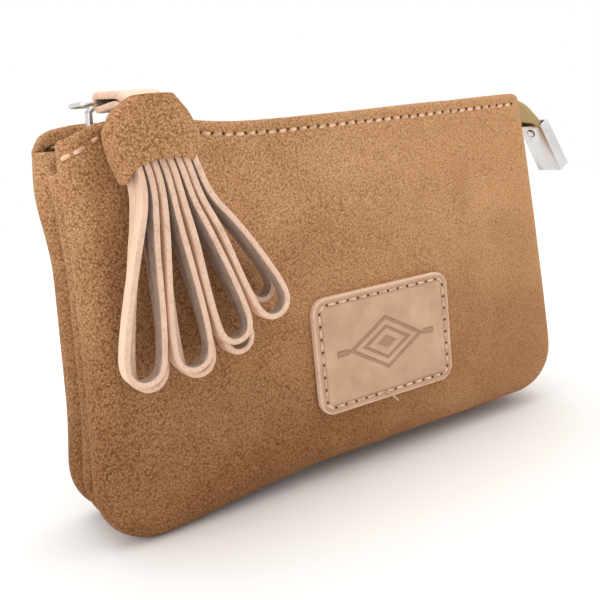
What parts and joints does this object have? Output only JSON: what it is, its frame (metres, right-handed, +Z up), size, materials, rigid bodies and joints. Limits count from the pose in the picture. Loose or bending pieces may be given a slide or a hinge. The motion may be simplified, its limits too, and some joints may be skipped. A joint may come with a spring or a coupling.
{
  "type": "zip purse",
  "caption": "Small upright suede purse with side-by-side pouches under a top zip, a leather lace tassel on the slider, a stitched front patch and a clipped zip tail.",
  "frame": {"origin": "middle of the flat strip under the front pouch, on the floor plane", "axes": "+X along the purse towards the zip's loose tail, -Y out of the front face, +Z up"},
  "size_m": [0.1609, 0.0444, 0.0992],
  "materials": {
    "suede": "napped suede, sand brown",
    "suede_inner": "suede flesh side, darker brown",
    "zip_tape": "woven khaki tape",
    "nude_leather": "smooth undyed grain side, fuzzy edges",
    "silver_metal": "polished nickel plate"
  },
  "bodies": {
    "front_pouch": {"front_panel": "suede", "front_pouch_inner_wall": "suede_inner", "leather_patch": "nude_leather", "front_zip_tape": "zip_tape", "front_zip_teeth": "silver_metal", "front_top_stop": "silver_metal", "bottom_stop": "silver_metal"},
    "middle_pouch": {"middle_panel": "suede", "middle_pouch_inner_wall": "suede_inner"},
    "rear_pouch": {"rear_panel": "suede", "rear_pouch_inner_wall": "suede_inner", "rear_zip_tape": "zip_tape", "rear_zip_teeth": "silver_metal", "rear_top_stop": "silver_metal"},
    "slider": {"slider_body": "silver_metal", "slider_bridge": "silver_metal"},
    "pull_ring": {"pull_ring": "silver_metal"},
    "tassel": {"tassel_strap": "nude_leather", "tassel_collar": "suede", "rear_lace_loop_1": "nude_leather", "rear_lace_loop_2": "nude_leather", "rear_lace_loop_3": "nude_leather", "rear_lace_loop_4": "nude_leather", "front_lace_loop_1": "nude_leather", "front_lace_loop_2": "nude_leather", "front_lace_loop_3": "nude_leather", "front_lace_loop_4": "nude_leather"},
    "zip_tail": {"tail_tape": "zip_tape", "end_clip": "silver_metal", "clip_screw": "silver_metal"}
  },
  "joints": [
    {"name": "rear_open", "type": "hinge", "parent": "front_pouch", "child": "rear_pouch", "pos_m": [0, 0.0195, 0.00525], "axis": [-1, 0, 0], "range_deg": [0, 12]},
    {"name": "middle_open", "type": "hinge", "parent": "front_pouch", "child": "middle_pouch", "pos_m": [0, 0.00975, 0.004], "axis": [-1, 0, 0], "range_deg": [0, 6]},
    {"name": "zip_slide", "type": "slide", "parent": "front_pouch", "child": "slider", "axis": [1, 0, 0], "range_m": [0, 0.095]},
    {"name": "ring_flip", "type": "hinge", "parent": "slider", "child": "pull_ring", "pos_m": [-0.0445, 0.00975, 0.0963], "axis": [0, 1, 0], "range_deg": [0, 90]},
    {"name": "tassel_swing", "type": "hinge", "parent": "pull_ring", "child": "tassel", "pos_m": [-0.0517, 0.00515, 0.0963], "axis": [-1, 0, 0], "range_deg": [0, 95]},
    {"name": "tail_bend", "type": "hinge", "parent": "front_pouch", "child": "zip_tail", "pos_m": [0.0596, 0.00975, 0.0874], "axis": [0, -1, 0], "range_deg": [-8, 40], "stiffness_Nm_per_rad": 0.02}
  ],
  "couplings": [
    {"joint": "middle_open", "follows": "rear_open", "ratio": 0.5},
    {"joint": "zip_slide", "follows": "rear_open", "m_per_rad": 0.4535}
  ]
}
